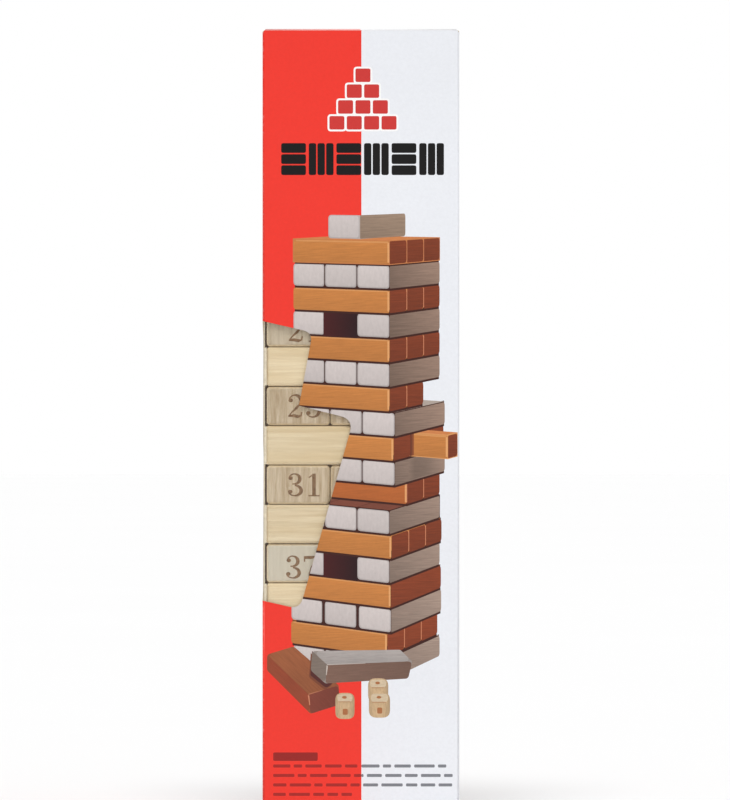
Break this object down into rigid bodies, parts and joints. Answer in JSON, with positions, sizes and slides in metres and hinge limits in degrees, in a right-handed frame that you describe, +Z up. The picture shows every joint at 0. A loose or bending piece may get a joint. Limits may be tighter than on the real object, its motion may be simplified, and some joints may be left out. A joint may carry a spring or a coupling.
{
  "type": "boxed tumbling tower game",
  "caption": "Windowed carton cover that lifts off a stepped base carrying a tower of numbered wooden blocks in crossed layers, with dice on top.",
  "frame": {"origin": "middle of the base's underside", "axes": "+Z up; -Y is the front, whose left side has the window; +X to the right seen from the front"},
  "size_m": [0.077, 0.077, 0.309],
  "materials": {
    "printed_board": "satin",
    "clear_film": "gloss",
    "greyboard": "matte",
    "block_wood": "matte",
    "die_wood": "satin"
  },
  "bodies": {
    "base": {"base_plinth": "greyboard"},
    "cover": {"carton_cover": "printed_board", "window_film": "clear_film"},
    "block_01": {"block_01": "block_wood"},
    "block_02": {"block_02": "block_wood"},
    "block_03": {"block_03": "block_wood"},
    "block_04": {"block_04": "block_wood"},
    "block_05": {"block_05": "block_wood"},
    "block_06": {"block_06": "block_wood"},
    "block_07": {"block_07": "block_wood"},
    "block_08": {"block_08": "block_wood"},
    "block_09": {"block_09": "block_wood"},
    "block_10": {"block_10": "block_wood"},
    "block_11": {"block_11": "block_wood"},
    "block_12": {"block_12": "block_wood"},
    "block_13": {"block_13": "block_wood"},
    "block_14": {"block_14": "block_wood"},
    "block_15": {"block_15": "block_wood"},
    "block_16": {"block_16": "block_wood"},
    "block_17": {"block_17": "block_wood"},
    "block_18": {"block_18": "block_wood"},
    "block_19": {"block_19": "block_wood"},
    "block_20": {"block_20": "block_wood"},
    "block_21": {"block_21": "block_wood"},
    "block_22": {"block_22": "block_wood"},
    "block_23": {"block_23": "block_wood"},
    "block_24": {"block_24": "block_wood"},
    "block_25": {"block_25": "block_wood"},
    "block_26": {"block_26": "block_wood"},
    "block_27": {"block_27": "block_wood"},
    "block_28": {"block_28": "block_wood"},
    "block_29": {"block_29": "block_wood"},
    "block_30": {"block_30": "block_wood"},
    "block_31": {"block_31": "block_wood"},
    "block_32": {"block_32": "block_wood"},
    "block_33": {"block_33": "block_wood"},
    "block_34": {"block_34": "block_wood"},
    "block_35": {"block_35": "block_wood"},
    "block_36": {"block_36": "block_wood"},
    "block_37": {"block_37": "block_wood"},
    "block_38": {"block_38": "block_wood"},
    "block_39": {"block_39": "block_wood"},
    "block_40": {"block_40": "block_wood"},
    "block_41": {"block_41": "block_wood"},
    "block_42": {"block_42": "block_wood"},
    "block_43": {"block_43": "block_wood"},
    "block_44": {"block_44": "block_wood"},
    "block_45": {"block_45": "block_wood"},
    "block_46": {"block_46": "block_wood"},
    "block_47": {"block_47": "block_wood"},
    "block_48": {"block_48": "block_wood"},
    "block_49": {"block_49": "block_wood"},
    "block_50": {"block_50": "block_wood"},
    "block_51": {"block_51": "block_wood"},
    "block_52": {"block_52": "block_wood"},
    "block_53": {"block_53": "block_wood"},
    "block_54": {"block_54": "block_wood"},
    "die_1": {"die_1": "die_wood"},
    "die_2": {"die_2": "die_wood"},
    "die_3": {"die_3": "die_wood"}
  },
  "joints": [
    {"name": "carton_lift", "type": "slide", "parent": "base", "child": "cover", "axis": [0, 0, 1], "range_m": [0, 0.312]},
    {"name": "die_1_roll", "type": "slide", "parent": "base", "child": "die_1", "axis": [0, -1, 0], "range_m": [0, 0.054]},
    {"name": "die_2_roll", "type": "slide", "parent": "base", "child": "die_2", "axis": [0, -1, 0], "range_m": [0, 0.054]},
    {"name": "die_3_roll", "type": "slide", "parent": "base", "child": "die_3", "axis": [0, -1, 0], "range_m": [0, 0.054]},
    {"name": "slide_block_01", "type": "slide", "parent": "base", "child": "block_01", "axis": [0, 1, 0], "range_m": [-0.000653, 0.000197]},
    {"name": "slide_block_02", "type": "slide", "parent": "base", "child": "block_02", "axis": [0, 1, 0], "range_m": [-0.000151, 0.000699]},
    {"name": "slide_block_03", "type": "slide", "parent": "base", "child": "block_03", "axis": [0, 1, 0], "range_m": [-0.000688, 0.000162]},
    {"name": "slide_block_04", "type": "slide", "parent": "base", "child": "block_04", "axis": [1, 0, 0], "range_m": [-0.00025, 0.0011]},
    {"name": "slide_block_05", "type": "slide", "parent": "base", "child": "block_05", "axis": [1, 0, 0], "range_m": [-0.00014, 0.00121]},
    {"name": "slide_block_06", "type": "slide", "parent": "base", "child": "block_06", "axis": [1, 0, 0], "range_m": [-0.00059, 0.00076]},
    {"name": "slide_block_07", "type": "slide", "parent": "base", "child": "block_07", "axis": [0, 1, 0], "range_m": [-0.000184, 0.000666]},
    {"name": "slide_block_08", "type": "slide", "parent": "base", "child": "block_08", "axis": [0, 1, 0], "range_m": [-0.000553, 0.000297]},
    {"name": "slide_block_09", "type": "slide", "parent": "base", "child": "block_09", "axis": [0, 1, 0], "range_m": [-0.000564, 0.000286]},
    {"name": "slide_block_10", "type": "slide", "parent": "base", "child": "block_10", "axis": [1, 0, 0], "range_m": [-0.00003, 0.00132]},
    {"name": "slide_block_11", "type": "slide", "parent": "base", "child": "block_11", "axis": [1, 0, 0], "range_m": [-0.00059, 0.00076]},
    {"name": "slide_block_12", "type": "slide", "parent": "base", "child": "block_12", "axis": [1, 0, 0], "range_m": [-0.00015, 0.0012]},
    {"name": "slide_block_13", "type": "slide", "parent": "base", "child": "block_13", "axis": [0, 1, 0], "range_m": [-0.000386, 0.000464]},
    {"name": "slide_block_14", "type": "slide", "parent": "base", "child": "block_14", "axis": [0, 1, 0], "range_m": [-0.000695, 0.000155]},
    {"name": "slide_block_15", "type": "slide", "parent": "base", "child": "block_15", "axis": [0, 1, 0], "range_m": [-0.000152, 0.000698]},
    {"name": "slide_block_16", "type": "slide", "parent": "base", "child": "block_16", "axis": [1, 0, 0], "range_m": [-0.00049, 0.00086]},
    {"name": "slide_block_17", "type": "slide", "parent": "base", "child": "block_17", "axis": [1, 0, 0], "range_m": [-0.00031, 0.00104]},
    {"name": "slide_block_18", "type": "slide", "parent": "base", "child": "block_18", "axis": [1, 0, 0], "range_m": [-0.00009, 0.00126]},
    {"name": "slide_block_19", "type": "slide", "parent": "base", "child": "block_19", "axis": [0, 1, 0], "range_m": [-0.00075, 0.0001]},
    {"name": "slide_block_20", "type": "slide", "parent": "base", "child": "block_20", "axis": [0, 1, 0], "range_m": [-0.00022, 0.00063]},
    {"name": "slide_block_21", "type": "slide", "parent": "base", "child": "block_21", "axis": [0, 1, 0], "range_m": [-0.00049, 0.00036]},
    {"name": "slide_block_22", "type": "slide", "parent": "base", "child": "block_22", "axis": [1, 0, 0], "range_m": [-0.00047, 0.00088]},
    {"name": "slide_block_23", "type": "slide", "parent": "base", "child": "block_23", "axis": [1, 0, 0], "range_m": [-0.00001, 0.00134]},
    {"name": "slide_block_24", "type": "slide", "parent": "base", "child": "block_24", "axis": [1, 0, 0], "range_m": [-0.00056, 0.00079]},
    {"name": "slide_block_25", "type": "slide", "parent": "base", "child": "block_25", "axis": [0, 1, 0], "range_m": [-0.000359, 0.000491]},
    {"name": "slide_block_26", "type": "slide", "parent": "base", "child": "block_26", "axis": [0, 1, 0], "range_m": [-0.000324, 0.000526]},
    {"name": "slide_block_27", "type": "slide", "parent": "base", "child": "block_27", "axis": [0, 1, 0], "range_m": [-0.000727, 0.000123]},
    {"name": "slide_block_28", "type": "slide", "parent": "base", "child": "block_28", "axis": [1, 0, 0], "range_m": [-0.00002, 0.00133]},
    {"name": "slide_block_29", "type": "slide", "parent": "base", "child": "block_29", "axis": [1, 0, 0], "range_m": [-0.00044, 0.00091]},
    {"name": "slide_block_30", "type": "slide", "parent": "base", "child": "block_30", "axis": [1, 0, 0], "range_m": [-0.00038, 0.00097]},
    {"name": "slide_block_31", "type": "slide", "parent": "base", "child": "block_31", "axis": [0, 1, 0], "range_m": [-0.000198, 0.000652]},
    {"name": "slide_block_32", "type": "slide", "parent": "base", "child": "block_32", "axis": [0, 1, 0], "range_m": [-0.000746, 0.000104]},
    {"name": "slide_block_33", "type": "slide", "parent": "base", "child": "block_33", "axis": [0, 1, 0], "range_m": [-0.000266, 0.000584]},
    {"name": "slide_block_34", "type": "slide", "parent": "base", "child": "block_34", "axis": [1, 0, 0], "range_m": [-0.00028, 0.00107]},
    {"name": "slide_block_35", "type": "slide", "parent": "base", "child": "block_35", "axis": [1, 0, 0], "range_m": [-0.00052, 0.00083]},
    {"name": "slide_block_36", "type": "slide", "parent": "base", "child": "block_36", "axis": [1, 0, 0], "range_m": [0, 0.00135]},
    {"name": "slide_block_37", "type": "slide", "parent": "base", "child": "block_37", "axis": [0, 1, 0], "range_m": [-0.000672, 0.000178]},
    {"name": "slide_block_38", "type": "slide", "parent": "base", "child": "block_38", "axis": [0, 1, 0], "range_m": [-0.000422, 0.000428]},
    {"name": "slide_block_39", "type": "slide", "parent": "base", "child": "block_39", "axis": [0, 1, 0], "range_m": [-0.000269, 0.000581]},
    {"name": "slide_block_40", "type": "slide", "parent": "base", "child": "block_40", "axis": [1, 0, 0], "range_m": [-0.0006, 0.00076]},
    {"name": "slide_block_41", "type": "slide", "parent": "base", "child": "block_41", "axis": [1, 0, 0], "range_m": [-0.00005, 0.0013]},
    {"name": "slide_block_42", "type": "slide", "parent": "base", "child": "block_42", "axis": [1, 0, 0], "range_m": [-0.00038, 0.00097]},
    {"name": "slide_block_43", "type": "slide", "parent": "base", "child": "block_43", "axis": [0, 1, 0], "range_m": [-0.000587, 0.000263]},
    {"name": "slide_block_44", "type": "slide", "parent": "base", "child": "block_44", "axis": [0, 1, 0], "range_m": [-0.000169, 0.000681]},
    {"name": "slide_block_45", "type": "slide", "parent": "base", "child": "block_45", "axis": [0, 1, 0], "range_m": [-0.000728, 0.000122]},
    {"name": "slide_block_46", "type": "slide", "parent": "base", "child": "block_46", "axis": [1, 0, 0], "range_m": [-0.00017, 0.00118]},
    {"name": "slide_block_47", "type": "slide", "parent": "base", "child": "block_47", "axis": [1, 0, 0], "range_m": [-0.00021, 0.00114]},
    {"name": "slide_block_48", "type": "slide", "parent": "base", "child": "block_48", "axis": [1, 0, 0], "range_m": [-0.00056, 0.00079]},
    {"name": "slide_block_49", "type": "slide", "parent": "base", "child": "block_49", "axis": [0, 1, 0], "range_m": [-0.000157, 0.000693]},
    {"name": "slide_block_50", "type": "slide", "parent": "base", "child": "block_50", "axis": [0, 1, 0], "range_m": [-0.000624, 0.000226]},
    {"name": "slide_block_51", "type": "slide", "parent": "base", "child": "block_51", "axis": [0, 1, 0], "range_m": [-0.000487, 0.000363]},
    {"name": "slide_block_52", "type": "slide", "parent": "base", "child": "block_52", "axis": [1, 0, 0], "range_m": [-0.00007, 0.00128]},
    {"name": "slide_block_53", "type": "slide", "parent": "base", "child": "block_53", "axis": [1, 0, 0], "range_m": [-0.0006, 0.00075]},
    {"name": "slide_block_54", "type": "slide", "parent": "base", "child": "block_54", "axis": [1, 0, 0], "range_m": [-0.00009, 0.00126]}
  ]
}
